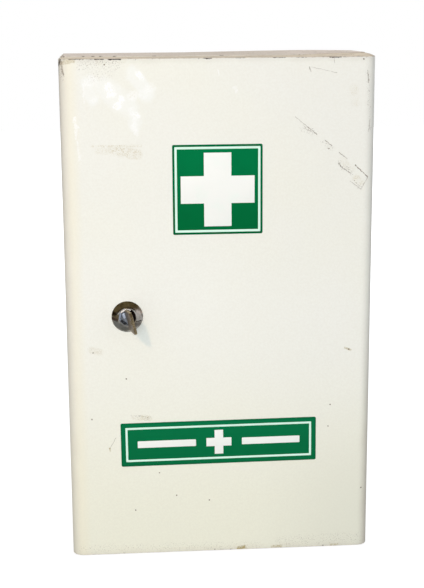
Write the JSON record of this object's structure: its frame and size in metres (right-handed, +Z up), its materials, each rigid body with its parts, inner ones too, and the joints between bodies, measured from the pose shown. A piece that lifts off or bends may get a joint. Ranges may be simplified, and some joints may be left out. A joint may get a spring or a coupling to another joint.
{
  "type": "first aid cabinet",
  "caption": "Wall cabinet of folded enamelled steel with shelves, a deep hinged door with trays, a white cross sign on green, a blank green label and a cam lock with its key.",
  "frame": {"origin": "centre of the four wall holes, on the back face of the case", "axes": "+Z up, +Y from the door to the wall, +X to the right as one faces the door"},
  "size_m": [0.3063, 0.185, 0.494],
  "materials": {
    "enamel_case": "aged gloss enamel",
    "enamel_door": "aged gloss enamel",
    "green_vinyl": "printed film",
    "zinc_plate": "zinc plated",
    "pin_steel": "drawn",
    "rivet_aluminium": "satin",
    "buffer_rubber": "matte",
    "lock_chrome": "worn polished",
    "lock_nickel": "worn polished",
    "key_brass": "worn nickel on brass"
  },
  "bodies": {
    "case": {"case_wrapper": "enamel_case", "case_top_cap": "enamel_case", "case_bottom_cap": "enamel_case", "shelf_upper": "enamel_case", "shelf_lower": "enamel_case", "lock_striker": "zinc_plate", "door_buffers": "buffer_rubber", "case_leaf_upper": "zinc_plate", "case_leaf_lower": "zinc_plate", "hinge_pin_upper": "pin_steel", "hinge_pin_lower": "pin_steel", "case_rivets": "rivet_aluminium"},
    "door": {"door_skin": "enamel_door", "door_top_cap": "enamel_door", "door_bottom_cap": "enamel_door", "door_tray_upper": "enamel_door", "door_tray_lower": "enamel_door", "cross_sign": "green_vinyl", "name_label": "green_vinyl", "door_leaf_upper": "zinc_plate", "door_leaf_lower": "zinc_plate", "door_rivets": "rivet_aluminium", "lock_rosette": "lock_chrome", "lock_barrel": "lock_nickel", "lock_washer": "zinc_plate", "lock_nut": "lock_nickel"},
    "plug": {"lock_plug": "lock_nickel", "lock_cam": "zinc_plate", "cam_screw": "zinc_plate"},
    "key": {"key": "key_brass"}
  },
  "joints": [
    {"name": "door_hinge", "type": "hinge", "parent": "case", "child": "door", "pos_m": [0.1533, -0.0924, 0], "axis": [0, 0, 1], "range_deg": [0, 175]},
    {"name": "lock_turn", "type": "hinge", "parent": "door", "child": "plug", "pos_m": [-0.0906, -0.15, 0], "axis": [0, -1, 0], "range_deg": [-14, 76]},
    {"name": "key_slide", "type": "slide", "parent": "plug", "child": "key", "axis": [0, -1, 0], "range_m": [0, 0.03]}
  ]
}
